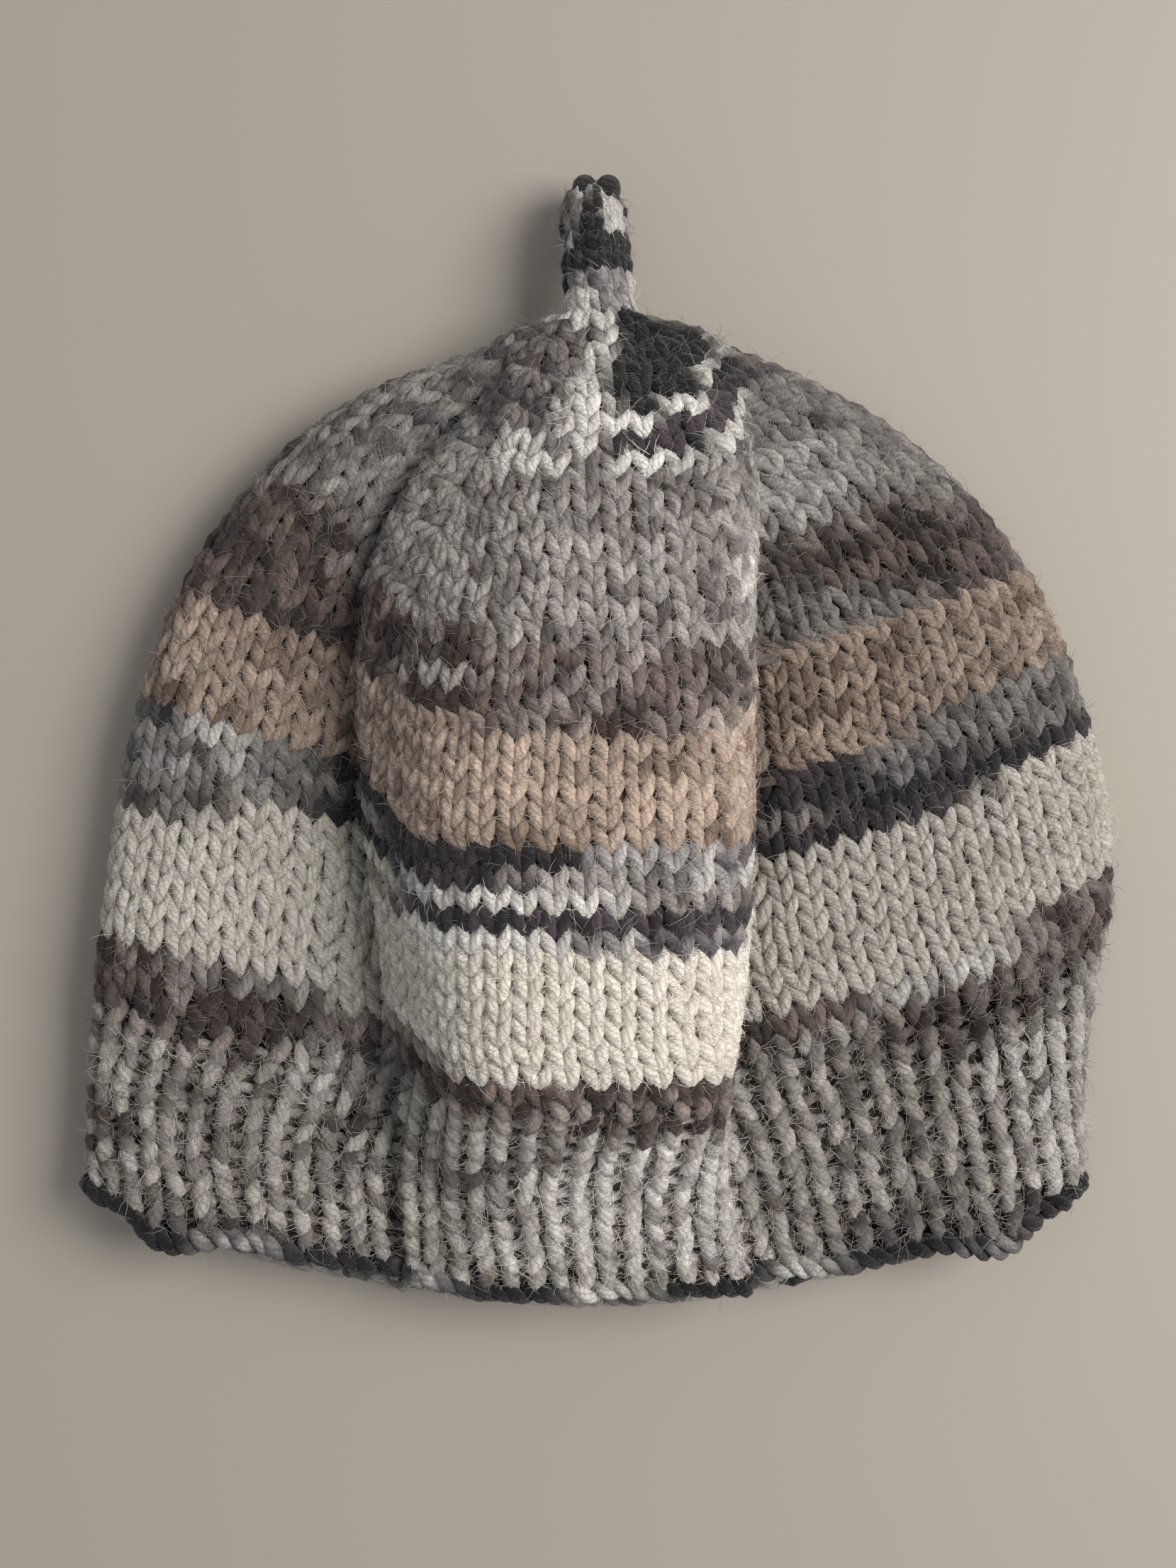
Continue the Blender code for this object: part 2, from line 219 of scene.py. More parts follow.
def stalkRing(share, count):
    # The same round the stalk, which droops from the crown's point. Past its end it turns inwards
    z = hatSizes
    past = max(0.0, share - 1) * knitting["stalkRows"]
    share = min(share, 1.0)
    along = share * z["stalkLength"]
    left = (z["stalkLength"] - along) / z["stalkRadius"]
    radius = z["stalkRadius"] * (math.sqrt(max(0.0, 1 - (1 - left) ** 2)) if left < 1 else 1.0)
    radius = max(radius, stalkEnd["leastRadius"] * z["stalkRadius"])
    radius = radius * (1 - stalkEnd["narrower"] * past)
    a = np.arange(count) / count * 2 * math.pi
    height = mix(z["pointHeight"], z["stalkEndHeight"], share)
    return np.column_stack([-z["stalkLean"] * share - radius * np.sin(a),
                            np.full(count, z["length"] + along + stalkEnd["onwards"] * past),
                            height - radius * np.cos(a)])


class Cloth:
    # The outer face of the knitting as a fine grid of points and normals. A place on it is a row
    # of knitting with a share of the round
    def __init__(self):
        rows, stalkRows = knitting["clothRows"], knitting["stalkRows"]
        around, perRow = clothGrid["around"], clothGrid["perRow"]
        self.around, self.perRow = around, perRow
        rings, self.perimeters = [], []
        for row in np.arange(0, rows * perRow + 1) / perRow:
            ring, perimeter = ringPoints(row / rows, around)
            rings.append(ring)
            self.perimeters.append(perimeter)
        for k in range(1, (stalkRows + 1) * perRow + 1):
            rings.append(stalkRing(k / perRow / stalkRows, around))
        points = np.array(rings)
        # One row more below the rim, for the loops that hang out there
        below = points[0] - (points[1] - points[0])
        ends = [points[0] + (below - points[0]) * k for k in range(perRow, 0, -1)]
        self.points = np.concatenate([ends, points])
        along = np.gradient(self.points, axis=0)
        across = np.roll(self.points, -1, axis=1) - np.roll(self.points, 1, axis=1)
        normals = np.cross(across, along)
        # Softened along the round, so that the yarn turns evenly through the creases
        for k in clothGrid["softening"]:
            normals = np.roll(normals, k, axis=1) + 2 * normals + np.roll(normals, -k, axis=1)
            length = np.linalg.norm(normals, axis=2)[:, :, None]
            normals = normals / np.maximum(length, 1e-12)
        self.normals = normals
        up = np.clip((np.arange(len(self.points)) / perRow - 1) / rows, 0, 1)
        near = np.clip((up - hatSizes["gatherStart"]) / hatSizes["gatherRun"], 0, 1)
        depth = hatSizes["gatherDepth"] * near
        turn = np.arange(around) / around * 2 * math.pi * hatSizes["gatherCount"]
        pleat = depth[:, None] * (0.5 - 0.5 * np.cos(turn))[None, :]
        pleat[up >= 1] *= clothGrid["gatherOnStalk"]
        self.points = self.points - self.normals * pleat[:, :, None]

    def at(self, row, turn, out):
        # Places at some rows and shares of the round, this far out of the surface
        r = np.clip((row + 1) * self.perRow, 0, len(self.points) - 1.001)
        t = (turn % 1.0) * self.around
        i, j = r.astype(int), t.astype(int) % self.around
        fi, fj = (r - i)[:, None], (t - np.floor(t))[:, None]
        k = (j + 1) % self.around
        place, way = (mix(mix(g[i, j], g[i, k], fj), mix(g[i + 1, j], g[i + 1, k], fj), fi)
                      for g in (self.points, self.normals))
        way = way / np.linalg.norm(way, axis=1)[:, None]
        return place + way * out[:, None], way


print("cloth grid")
cloth = Cloth()
# The frame's origin is the middle of the footprint, these points' is on the front's rim
clothLow = cloth.points[cloth.perRow:].reshape(-1, 3).min(axis=0)
originShift = np.array([clothLow[0] - frameLow[0], clothLow[1] - frameLow[1], 0.0])


def stitchCounts():
    # Stitches in each row: full rows up to the crown, then two fewer in each section at once
    k = knitting
    step, least = 2 * k["sections"], k["leastPerSection"] * k["sections"]
    perimeter = np.array(cloth.perimeters)[np.arange(k["clothRows"]) * cloth.perRow]
    found = np.minimum(k["mostStitches"], k["sections"]
                       + np.round((perimeter / k["stitchWidth"] - k["sections"]) / step) * step)
    found[: k["brimRows"] + k["evenRows"]] = k["mostStitches"]
    found = np.minimum.accumulate(np.maximum(found, least))
    return np.concatenate([found, np.full(k["stalkRows"] + 2, least)]).astype(int)


counts = stitchCounts()
print("stitches in all", counts.sum())


def turnOfStitch(row, x, v):
    # Share of the round at stitch coordinate x of a row, looked at from row height v: the
    # stitches of a section keep their places from its middle and run out at both its ends
    perSection = counts[row] / knitting["sections"]
    section = np.clip(np.floor(x / perSection), 0, knitting["sections"] - 1)
    inner = x - (section + 0.5) * perSection
    there = np.interp(v, np.arange(len(counts)) + 0.5, counts / knitting["sections"])
    share = np.clip(0.5 + inner / there, 0, 1)
    return (section + share) / knitting["sections"] + knitting["firstStitch"]


def rowYarn(row):
    # One row's yarn: centre line, surface normal, place along the yarn, radius and painted shade
    k = knitting
    n = counts[row]
    steps = k["pointsPerStitch"]
    m = n * steps
    t = np.arange(m) / steps
    stitch = np.floor(t).astype(int)
    phase = 2 * math.pi * (t - stitch)
    wobble = rng.normal(0, 1, (6, n)) * k["unevenness"]  # five are used
    beside = np.sin(phase / 2) ** 2
    reach = k["loopReach"] * (1 + wobble[1][stitch])
    waist = (k["ribWaist"] if row < k["brimRows"] else k["loopWaist"]) \
        * (1 + 2 * wobble[3][stitch])
    x = t + waist * np.sin(2 * phase) + wobble[0][stitch] * beside
    v = row + 0.5 - reach * np.cos(phase) + wobble[2][stitch] * beside
    depth = -k["loopDepth"] * np.cos(2 * phase)
    rise = 0.0
    swell, deepest = k["legSwell"], dyeing["deep"]
    if row < k["brimRows"]:
        # The knit columns swell and close over the purl columns beside them
        fade = min(1.0, (k["brimRows"] - row) / k["ribFadeRows"])
        rise = k["ribRise"] * fade
        depth = depth * (1 - 2 * (stitch % 2)) + rise * np.cos(math.pi * (x - 0.5))
        x = x + k["ribPinch"] * fade * np.sin(math.pi * (x - 0.5))
        turn = x / n + k["firstStitch"]
        swell = mix(swell, k["ribSwell"], fade)
        deepest = mix(deepest, dyeing["deepRib"], fade)
    else:
        # The two legs of a stitch stand closer, which parts the columns
        x = x + k["columnPinch"] * np.sin(2 * math.pi * x)
        turn = turnOfStitch(row, np.clip(x, 0, n), v)
    place, way = cloth.at(v, turn, depth - k["loopDepth"] - k["yarnRadius"] - rise)
    radius = k["yarnRadius"] * (1 - (swell + wobble[4][stitch]) * np.cos(2 * phase))
    if row < k["brimRows"]:
        radius = radius * k["ribFatter"]
    # Painted shade: the yarn is darker where it dips behind its neighbours
    raised = np.clip(0.5 + 0.5 * depth / (k["loopDepth"] + rise), 0, 1)
    shade = mix(deepest, 1.0, raised * raised * (3 - 2 * raised))
    return place, way, row + (1 - turn) % 1.0, radius, shade


def gridFaces(i, j, nextI, nextJ, width):
    # The corners of each cell of a grid of points that has this width, turned to face outwards
    corners = ((i, j), (i, nextJ), (nextI, nextJ), (nextI, j))
    return np.stack([a[:, None] * width + b for a, b in corners], axis=-1).reshape(-1, 4)


def tubes(paths):
    # One joined mesh of tubes along the paths, with the painted shade of each point, darker on
    # the underside of each tube
    verts, faces, colorKeys, shades, uvs = [], [], [], [], []
    start = 0
    for place, way, yarn, radius, shade, closed, sides in paths:
        angles = np.arange(sides) / sides * 2 * math.pi
        # Painted shade: each tube is darker on its underside, which faces into the cloth
        facing = mix(dyeing["under"], 1.0, np.clip(np.cos(angles) + 0.5, 0, 1))
        place[:, 2] = np.maximum(place[:, 2], radius)  # what lies down lies on the floor
        m = len(place)
        if closed:
            tangent = np.roll(place, -1, axis=0) - np.roll(place, 1, axis=0)
        else:
            tangent = np.gradient(place, axis=0)
        tangent /= np.maximum(np.linalg.norm(tangent, axis=1), 1e-12)[:, None]
        side = np.cross(tangent, way)
        side /= np.maximum(np.linalg.norm(side, axis=1), 1e-12)[:, None]
        upWay = np.cross(side, tangent)
        ring = (np.cos(angles)[None, :, None] * upWay[:, None, :]
                + np.sin(angles)[None, :, None] * side[:, None, :])
        verts.append((place[:, None, :] + ring * radius[:, None, None]).reshape(-1, 3))
        i = np.arange(m if closed else m - 1)
        j = np.arange(sides)
        faces.append(gridFaces(i, j, (i + 1) % m, (j + 1) % sides, sides) + start)
        step = np.linalg.norm(np.roll(place, -1, axis=0) - place, axis=1)
        run = np.concatenate([[0], np.cumsum(step)])
        # The yarn map: metres along the yarn, and the share of the way round it
        quad = np.empty((len(i), sides, 4, 2))
        for corner, (on, beside) in enumerate(((0, 0), (0, 1), (1, 1), (1, 0))):
            quad[:, :, corner, 0] = run[i + on][:, None]
            quad[:, :, corner, 1] = (j + beside) / sides
        uvs.append(quad.reshape(-1, 2))
        colorKeys.append(np.repeat(yarn, sides))
        shades.append((shade[:, None] * facing[None, :]).ravel())
        start += m * sides
    return (np.concatenate(part) for part in (verts, faces, colorKeys, shades, uvs))


# The dyes as the eye sees them, 0 to 255: the paler and the darker tone that each is flecked
# with, and the share of the darker one
yarnDyes = {
    "cream": ((222, 215, 203), (190, 181, 166), 0.22),
    "tan": ((190, 169, 153), (112, 93, 80), 0.42),
    "brown": ((132, 114, 107), (43, 33, 30), 0.55),
    "plum": ((82, 71, 77), (31, 25, 29), 0.60),
    "steel": ((158, 153, 148), (72, 66, 63), 0.46),
    "ash": ((172, 165, 160), (84, 76, 73), 0.45),
    "pearl": ((206, 201, 196), (112, 105, 101), 0.36),
    "mist": ((228, 224, 217), (146, 140, 134), 0.26),
    "dusk": ((158, 150, 146), (66, 58, 58), 0.52),
    "coal": ((43, 37, 40), (15, 12, 14), 0.62),
    "heather": ((196, 191, 188), (54, 46, 54), 0.48),
    "umber": ((168, 156, 149), (58, 44, 39), 0.57),
    "marl": ((202, 196, 188), (78, 68, 62), 0.46),
    "fog": ((230, 225, 218), (108, 97, 92), 0.36),
}
# flat shade: painted shade of the flat parts beside the raised top of the fold; it fades out from
# shadeFrom to shadeTo, in metres over the floor. right shade: more painted shade that the hat's
# right side has besides, near the share rightAt of the round. softRun: stitches over which one
# dye
# runs into the next. fleckRun: stitches between the finest flecks. flecks: each size of fleck, as
# its strength, its run in fleckRuns and its row of chances. slowUneven, slowRun: strength and
# stitches of the slow change in tone. deep, deepRib: painted shade of the yarn where it dips
# behind
# its neighbours. under: painted shade of its underside. paleGlow: how much less painted shade a
# pale yarn gets
dyeing = {"paintedFlatShade": 0.69, "shadeFrom": 0.0170, "shadeTo": 0.0340,
          "paintedRightShade": 0.84, "rightAt": 0.30, "rightSpread": 0.10, "rightReach": 1.6,
          "softRun": 2.2, "fleckRun": 0.24, "fleckSharpness": 2.4,
          "flecks": ((0.42, 1.0, 0), (0.34, 3.7, 1), (0.24, 13.0, 2)),
          "slowUneven": 0.06, "slowRun": 9,
          "deep": 0.58, "deepRib": 0.20, "under": 0.42, "paleGlow": 1.0}

# Where along the yarn its dye changes: the row of knitting, with the share of the round that is
# done when the new colour starts. The round begins at the back and goes over the hat's right,
# the fold and the hat's left
yarnRuns = [
    (-2.0, "mist"), (-0.80, "dusk"), (-0.76, "coal"), (-0.70, "heather"), (-0.68, "coal"),
    (-0.61, "mist"), (-0.58, "coal"), (-0.51, "mist"), (-0.47, "coal"), (-0.42, "heather"),
    (-0.40, "coal"), (-0.33, "heather"), (-0.30, "coal"), (-0.22, "dusk"), (-0.18, "mist"),
    (-0.05, "dusk"), (0.0, "marl"), (0.25, "fog"), (0.29, "dusk"), (0.38, "marl"), (0.62, "dusk"),
    (0.74, "marl"), (1.26, "fog"), (1.30, "marl"), (1.42, "fog"), (1.56, "marl"),
    (2.25, "fog"), (2.29, "marl"), (2.42, "fog"), (2.56, "marl"), (3.25, "fog"), (3.29, "marl"),
    (3.42, "fog"), (3.56, "marl"), (4.25, "fog"), (4.29, "marl"), (4.42, "fog"), (4.56, "marl"),
    (5.25, "fog"), (5.29, "marl"), (5.41, "fog"), (5.55, "marl"), (6.25, "fog"), (6.29, "marl"),
    (6.41, "fog"), (6.55, "marl"), (7.25, "fog"), (7.29, "marl"), (7.41, "fog"), (7.54, "marl"),
    (8.41, "fog"), (8.54, "marl"), (8.64, "fog"), (8.67, "marl"), (9.28, "umber"), (9.34, "marl"),
    (9.64, "fog"), (9.67, "marl"), (10.22, "umber"), (10.36, "marl"), (10.44, "umber"),
    (10.56, "marl"), (10.64, "fog"), (10.67, "umber"), (10.76, "marl"),
    (11.18, "brown"), (11.26, "umber"), (11.34, "marl"), (11.40, "brown"), (11.48, "umber"),
    (11.62, "marl"), (11.68, "brown"), (11.76, "umber"), (11.9, "marl"),
    (12.20, "umber"), (12.28, "mist"), (12.34, "brown"), (12.42, "umber"), (12.50, "brown"),
    (12.62, "umber"), (12.74, "brown"), (12.80, "umber"), (12.90, "ash"),
    (13.12, "brown"), (13.24, "umber"), (13.28, "cream"), (13.41, "umber"), (13.44, "cream"),
    (13.57, "umber"), (13.62, "cream"), (13.665, "ash"), (13.73, "umber"), (13.78, "brown"),
    (13.83, "ash"), (14.10, "cream"), (19.40, "mist"), (19.44, "heather"), (19.52, "mist"),
    (19.60, "ash"), (19.655, "cream"), (19.72, "steel"), (20.20, "cream"), (20.275, "plum"),
    (20.60, "cream"), (20.715, "steel"), (21.19, "plum"), (21.30, "coal"), (21.335, "dusk"),
    (21.40, "ash"), (21.50, "mist"), (21.57, "heather"), (21.61, "coal"), (21.68, "steel"),
    (21.725, "heather"), (21.76, "steel"), (22.29, "heather"), (22.315, "plum"),
    (22.40, "heather"), (22.48, "ash"), (22.54, "plum"), (22.61, "ash"), (22.675, "steel"),
    (22.70, "heather"), (22.72, "steel"), (23.31, "plum"), (23.38, "coal"), (23.41, "plum"),
    (23.44, "heather"), (23.50, "plum"), (23.60, "coal"), (23.675, "steel"), (23.712, "mist"),
    (23.733, "coal"), (23.755, "steel"), (24.30, "tan"), (24.38, "heather"), (24.41, "tan"),
    (24.635, "umber"), (24.66, "tan"), (29.43, "umber"), (29.56, "tan"), (29.62, "brown"),
    (30.0, "ash"), (30.22, "brown"), (30.27, "steel"), (30.365, "tan"), (30.41, "umber"),
    (30.45, "brown"), (30.49, "umber"), (30.54, "brown"), (30.57, "umber"), (30.62, "brown"),
    (31.295, "steel"), (31.40, "umber"), (31.45, "brown"), (31.49, "ash"), (31.53, "umber"),
    (31.57, "ash"), (31.61, "brown"), (32.32, "steel"), (32.37, "ash"), (32.42, "umber"),
    (32.50, "brown"), (32.54, "umber"), (32.61, "brown"), (32.66, "mist"), (32.68, "brown"),
    (32.76, "ash"), (33.22, "umber"), (33.25, "brown"), (33.345, "steel"), (33.40, "ash"),
    (33.56, "umber"), (33.60, "ash"), (33.69, "umber"), (33.71, "brown"), (33.76, "ash"),
    (34.24, "umber"), (34.34, "pearl"), (34.40, "ash"), (34.71, "umber"), (34.76, "ash"),
    (35.30, "pearl"), (35.42, "ash"), (36.27, "pearl"), (36.41, "ash"), (36.66, "steel"),
    (36.8, "ash"), (37.26, "pearl"), (37.38, "ash"), (38.27, "pearl"), (38.36, "ash"),
    (39.3, "steel"), (39.4, "ash"), (40.28, "pearl"), (40.36, "ash"), (40.64, "heather"),
    (40.7, "ash"), (41.26, "steel"), (41.42, "mist"), (41.49, "ash"), (41.53, "mist"),
    (41.60, "ash"), (42.30, "mist"), (42.40, "plum"), (42.50, "mist"), (42.535, "dusk"),
    (42.56, "mist"), (42.60, "dusk"), (42.70, "ash"), (43.24, "dusk"), (43.28, "plum"),
    (43.44, "mist"), (43.56, "dusk"), (43.66, "ash"), (44.25, "dusk"), (44.28, "plum"),
    (44.365, "mist"), (44.43, "coal"), (44.49, "mist"), (44.56, "dusk"), (44.62, "plum"),
    (44.66, "dusk"), (44.76, "ash"), (45.22, "dusk"), (45.25, "mist"), (45.28, "plum"),
    (45.305, "mist"), (45.355, "coal"), (45.50, "mist"), (45.55, "dusk"), (45.76, "ash"),
    (46.22, "dusk"), (46.25, "mist"), (46.28, "coal"), (46.495, "mist"), (46.54, "dusk"),
    (46.76, "ash"), (47.25, "coal"), (47.48, "mist"), (47.53, "dusk"), (47.76, "ash"),
    (48.21, "dusk"), (48.25, "coal"), (48.46, "mist"), (48.51, "dusk"),
    (49.26, "coal"), (49.44, "mist"), (50.3, "heather"), (50.5, "mist"),
    (51.3, "heather"), (51.7, "coal"), (53.6, "heather"), (54.30, "mist"), (54.46, "coal"),
    (54.58, "ash"), (54.70, "coal"), (55.28, "mist"), (55.44, "coal"), (55.51, "ash"),
    (55.74, "dusk"), (56.26, "mist"), (56.46, "coal"), (56.50, "mist"), (56.60, "ash"),
    (56.80, "coal"),
]


def toLinear(color):
    # What the eye sees, 0 to 255, as the amount of light
    c = np.asarray(color, float) / 255
    return np.where(c <= 0.04045, c / 12.92, ((c + 0.055) / 1.055) ** 2.4)


chances = rng.uniform(-1, 1, (3, 5000))


def noiseAlong(places, knots):
    # Smooth chance values along the yarn, near -1 to 1
    i = np.floor(places).astype(int)
    f = places - i
    f = f * f * (3 - 2 * f)
    return mix(knots[i % len(knots)], knots[(i + 1) % len(knots)], f)


def colorsAlong(yarn, heights):
    # The yarn's colour at its places, each a row of knitting with the share of the round, and
    # painted shade on the flat parts
    starts = np.array([run[0] for run in yarnRuns])
    pale, dark = (toLinear([yarnDyes[run[1]][k] for run in yarnRuns]) for k in (0, 1))
    darkShare = np.array([yarnDyes[run[1]][2] for run in yarnRuns])
    stitches = (yarn + 2) * knitting["mostStitches"]
    fleck = sum(part * noiseAlong(stitches / (longer * dyeing["fleckRun"]), chances[k])
                for part, longer, k in dyeing["flecks"])
    # The dyes run into each other unevenly
    soft = dyeing["softRun"] / knitting["mostStitches"]
    edge = yarn + 0.5 * fleck * soft
    i = np.clip(np.searchsorted(starts, edge, side="right") - 1, 0, len(starts) - 1)
    last = np.maximum(i - 1, 0)
    blend = np.clip((edge - starts[i]) / soft, 0, 1)[:, None]
    share = mix(darkShare[last], darkShare[i], blend[:, 0])
    dip = np.clip(0.5 + (fleck * 0.5 + share - 0.5) * dyeing["fleckSharpness"], 0, 1)[:, None]
    color = mix(mix(pale[last], pale[i], blend), mix(dark[last], dark[i], blend), dip)
    slow = noiseAlong(stitches / dyeing["slowRun"], chances[2])
    # Painted shade: the flat parts are darker than the raised top of the fold, the hat's right
    # side more so
    raised = np.clip((heights - dyeing["shadeFrom"])
                     / (dyeing["shadeTo"] - dyeing["shadeFrom"]), 0, 1)
    raised = raised * raised * (3 - 2 * raised)
    aside = np.abs(yarn % 1.0 - dyeing["rightAt"]) / dyeing["rightSpread"]
    rightSide = np.clip(dyeing["rightReach"] - aside, 0, 1)
    flat = dyeing["paintedFlatShade"] * mix(1.0, dyeing["paintedRightShade"], rightSide)
    shade = (1 + dyeing["slowUneven"] * slow) * mix(flat, 1.0, raised)
    return np.clip(color * shade[:, None], 0, 1)


def makeMesh(name, verts, faces, colors, uvs=None):
    mesh = bpy.data.meshes.new(name)
    mesh.from_pydata(verts - originShift, [], faces)
    mesh.shade_smooth()
    attribute = mesh.color_attributes.new(name="dye", type="FLOAT_COLOR", domain="POINT")
    flat = np.ones((len(verts), 4), np.float32)
    flat[:, :3] = colors
    attribute.data.foreach_set("color", flat.ravel())
    if uvs is not None:
        layer = mesh.uv_layers.new(name="yarn")
        layer.data.foreach_set("uv", uvs.astype(np.float32).ravel())
    piece = bpy.data.objects.new(name, mesh)
    bpy.context.scene.collection.objects.link(piece)
    return piece


# row, width and uneven are in rows. unevenRun, swellRun: how often in a wrap the strand's place
# and its thickness change. shade, shadeChange: the strands' painted shade, darker where a strand
# winds deeper in
castOnLook = {"wraps": 60, "steps": 13, "row": -0.22, "width": 0.30, "depth": -0.0017,
              "thickness": 0.0011, "radius": 0.00118, "uneven": 0.28, "unevenRun": 0.6,
              "slip": 0.5, "swell": 0.25, "swellRun": 1.7, "shade": 0.72, "shadeChange": 0.28}


def castOnEdge():
    # The cast-on edge: two strands that wind round each other along the rim
    z = castOnLook
    paths = []
    for strand in (0, 1):
        t = np.arange(z["wraps"] * z["steps"]) / z["steps"]
        swell = noiseAlong(t * z["swellRun"], chances[strand])
        phase = 2 * math.pi * t + math.pi * strand + z["slip"] * swell
        turn = t / z["wraps"] + knitting["firstStitch"]
        v = z["row"] + z["width"] * np.cos(phase) \
            + z["uneven"] * noiseAlong(t * z["unevenRun"], chances[2])
        place, way = cloth.at(v, turn, z["depth"] + z["thickness"] * np.sin(phase))
        # Painted shade: each strand is darker where it winds deeper in
        paths.append((place, way, -1 + (1 - turn) % 1.0, z["radius"] * (1 + z["swell"] * swell),
                      z["shade"] + z["shadeChange"] * np.sin(phase), True, knitting["sides"]))
    return paths


# overlap, fromRim and beforeEnd are in rows. shade, paleShade: the layer's painted shade under
# dark and under pale yarn
paintedShadeLayerLook = {"overlap": 0.1, "fromRim": 0.15, "beforeEnd": 2.5, "thickness": 0.0003,
               "pointsPerStitch": 2, "stalkPoints": 40, "shade": 0.12, "paleShade": 0.7}


def paintedShadeLayer(firstRow, lastRow):
    # A thin layer in the middle of the loops, so that no light shows between the stitches. Its
    # colour is painted shade, dark where the yarn is dark and lighter where it is pale
    z, k = paintedShadeLayerLook, knitting
    low = firstRow - z["overlap"] if firstRow else z["fromRim"]
    high = min(lastRow + z["overlap"], k["clothRows"] + k["stalkRows"] - z["beforeEnd"])
    rows = np.linspace(low, high, (lastRow - firstRow) + 1)
    onStalk = firstRow >= k["clothRows"]
    around = z["stalkPoints"] if onStalk else z["pointsPerStitch"] * k["mostStitches"]
    turn = np.arange(around) / around
    ribs = k["ribRise"] * np.clip((k["brimRows"] - rows) / k["ribFadeRows"], 0, 1)
    depth = k["loopDepth"] + k["yarnRadius"] + ribs
    rings = [cloth.at(np.full(around, v), turn, np.full(around, -d))[0]
             for v, d in zip(rows, depth)]
    rings += [cloth.at(np.full(around, v), turn, np.full(around, -d - z["thickness"]))[0]
              for v, d in zip(rows[::-1], depth[::-1])]
    i, j = np.arange(len(rings)), np.arange(around)
    faces = gridFaces(i, j, (i + 1) % len(rings), (j + 1) % around, around)
    yarn = np.concatenate([np.floor(v) + (1 - turn) % 1.0
                           for v in np.concatenate([rows, rows[::-1]])])
    return np.concatenate(rings), faces, yarn


# hairs: at most in each of the two pieces, picked from so many tries each. below: the share that
# stays beyond upperSide, a share of the round to each side of the front's middle. mostShort: how
# strongly the lengths crowd at the shortest. root: how deep under the cloth's outer face a hair
# begins. splitRow: where the second piece begins. belowRim, pastEnd: rows beyond the knitting
fuzzLook = {"hairs": 30500, "tries": 12, "below": 0.35, "upperSide": 0.27, "splitRow": 21,
            "belowRim": 0.3, "pastEnd": 0.1, "root": 0.0007, "shortest": 0.0011,
            "longest": 0.0042, "mostShort": 2.2, "width": 0.000075, "taper": (1.0, 1.0, 0.8, 0.3),
            "lift": 0.60, "liftRange": (0.3, 1.7), "curl": 0.5, "droop": 0.45, "twist": 0.8,
            "overFloor": 0.0002, "pale": (196, 190, 182), "paleShare": 0.14,
            "roughness": 0.7, "sheen": 0.3}


def fuzz(firstRow, lastRow, count):
    # Fine fibres that stand out of the yarn, each a thin curved ribbon of three faces
    z = fuzzLook
    steps, tries = len(z["taper"]), z["tries"] * count
    # More of them where the round is longer, and fewer on the side that lies down
    row, turn = rng.uniform(firstRow, lastRow, tries), rng.uniform(0, 1, tries)
    around = np.interp(row * cloth.perRow, np.arange(len(cloth.perimeters)), cloth.perimeters)
    chance = around / max(cloth.perimeters) \
        * np.where(np.abs(turn - 0.5) < z["upperSide"], 1, z["below"])
    taken = np.flatnonzero(rng.uniform(0, 1, tries) < chance)[:count]
    row, turn, count = row[taken], turn[taken], len(taken)
    drift = rng.normal(0, 1, (4, count))
    length = z["shortest"] \
        + (z["longest"] - z["shortest"]) * rng.uniform(0, 1, count) ** z["mostShort"]
    root = np.full(count, -z["root"])
    start, way = cloth.at(row, turn, root)
    along = cloth.at(row + 0.2, turn, root)[0] - start  # towards the crown
    along /= np.maximum(np.linalg.norm(along, axis=1), 1e-9)[:, None]
    across = np.cross(along, way)
    flat = along * drift[0][:, None] + across * drift[1][:, None]
    flat /= np.maximum(np.linalg.norm(flat, axis=1), 1e-9)[:, None]
    lift = z["lift"] * rng.uniform(*z["liftRange"], count)[:, None]
    bend = np.cross(flat, way) * drift[2][:, None] * z["curl"] - way * z["droop"]
    line = np.stack([start + (flat * s + way * lift * s + bend * s * s) * length[:, None]
                     for s in np.linspace(0, 1, steps)], axis=1)
    line[:, :, 2] = np.maximum(line[:, :, 2], z["overFloor"])
    tangent = np.gradient(line, axis=1)
    tangent /= np.maximum(np.linalg.norm(tangent, axis=2), 1e-12)[:, :, None]
    side = np.cross(tangent, (way + z["twist"] * across * drift[3][:, None])[:, None, :])
    side /= np.maximum(np.linalg.norm(side, axis=2), 1e-12)[:, :, None]
    half = 0.5 * z["width"] * np.array(z["taper"])[None, :, None]
    verts = np.stack([line - side * half, line + side * half], axis=2).reshape(-1, 3)
    base = np.arange(count)[:, None] * steps * 2 + 2 * np.arange(steps - 1)[None, :]
    faces = np.stack([base, base + 1, base + 3, base + 2], axis=-1).reshape(-1, 4)
    return verts, faces, np.repeat(np.floor(row) + (1 - turn) % 1.0, steps * 2)


class Socket:
    # Wraps a shader socket so that shader maths reads like plain maths
    def __init__(self, tree, socket):
        self.tree, self.socket = tree, socket

    def output(self, number):
        # Another output of the same node
        return Socket(self.tree, self.socket.node.outputs[number])

    def math(self, operation, other=None, flip=False):
        node = self.tree.nodes.new("ShaderNodeMath")
        node.operation = operation
        for k, value in enumerate([other, self] if flip else [self, other]):
            if isinstance(value, Socket):
                self.tree.links.new(value.socket, node.inputs[k])
            elif value is not None:
                node.inputs[k].default_value = value
        return Socket(self.tree, node.outputs[0])

    def __add__(self, other):
        return self.math("ADD", other)

    def __radd__(self, other):
        return self.math("ADD", other)

    def __sub__(self, other):
        return self.math("SUBTRACT", other)

    def __rsub__(self, other):
        return self.math("SUBTRACT", other, flip=True)

    def __mul__(self, other):
        return self.math("MULTIPLY", other)

    def __rmul__(self, other):
        return self.math("MULTIPLY", other)

    def __truediv__(self, other):
        return self.math("DIVIDE", other)

    def __rtruediv__(self, other):
        return self.math("DIVIDE", other, flip=True)


